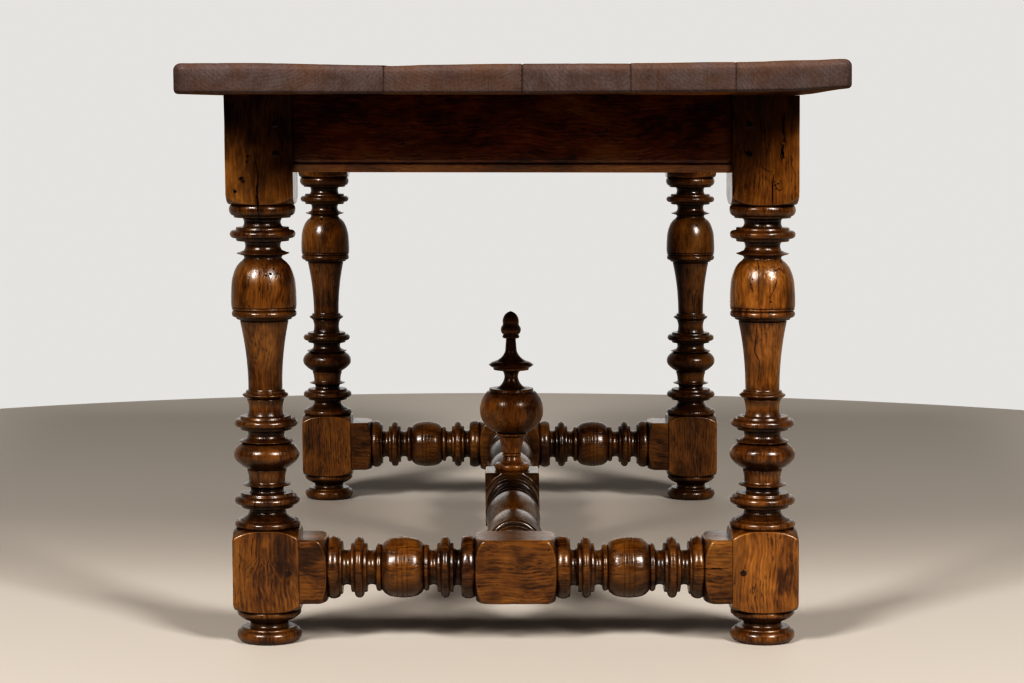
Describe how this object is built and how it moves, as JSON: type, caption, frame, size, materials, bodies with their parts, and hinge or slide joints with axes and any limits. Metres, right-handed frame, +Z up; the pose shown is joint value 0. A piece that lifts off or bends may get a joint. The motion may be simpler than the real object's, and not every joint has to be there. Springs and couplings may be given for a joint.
{
  "type": "refectory table",
  "caption": "Plank-topped refectory table with turned baluster legs, beaded aprons and an H stretcher that carries a turned finial.",
  "frame": {"origin": "floor level, midway between the four feet", "axes": "+Z up, +Y along the table's length away from the near end, +X across it"},
  "size_m": [0.83, 1.728, 0.7645],
  "materials": {
    "top": "dark waxed walnut boards, worn satin",
    "turned_work": "dark waxed walnut, polished satin",
    "rails": "dark waxed walnut, satin",
    "tongues": "raw sawn wood",
    "pegs": "dark split wood, waxed ends"
  },
  "bodies": {
    "root": {"leg_near_left": "turned_work", "leg_near_right": "turned_work", "leg_far_left": "turned_work", "leg_far_right": "turned_work", "end_apron_near": "rails", "end_apron_far": "rails", "side_apron_left": "rails", "side_apron_right": "rails", "cross_rail": "rails", "end_stretcher_near": "turned_work", "end_stretcher_far": "turned_work", "medial_stretcher": "turned_work", "finial": "turned_work", "top_tongue_1": "tongues", "top_tongue_2": "tongues", "top_tongue_3": "tongues", "top_tongue_4": "tongues", "top_board_1": "top", "top_board_2": "top", "top_board_3": "top", "top_board_4": "top", "top_board_5": "top", "end_apron_pegs": "pegs", "side_apron_pegs": "pegs", "stretcher_pegs": "pegs", "medial_pegs": "pegs", "top_pegs": "pegs"}
  },
  "joints": []
}
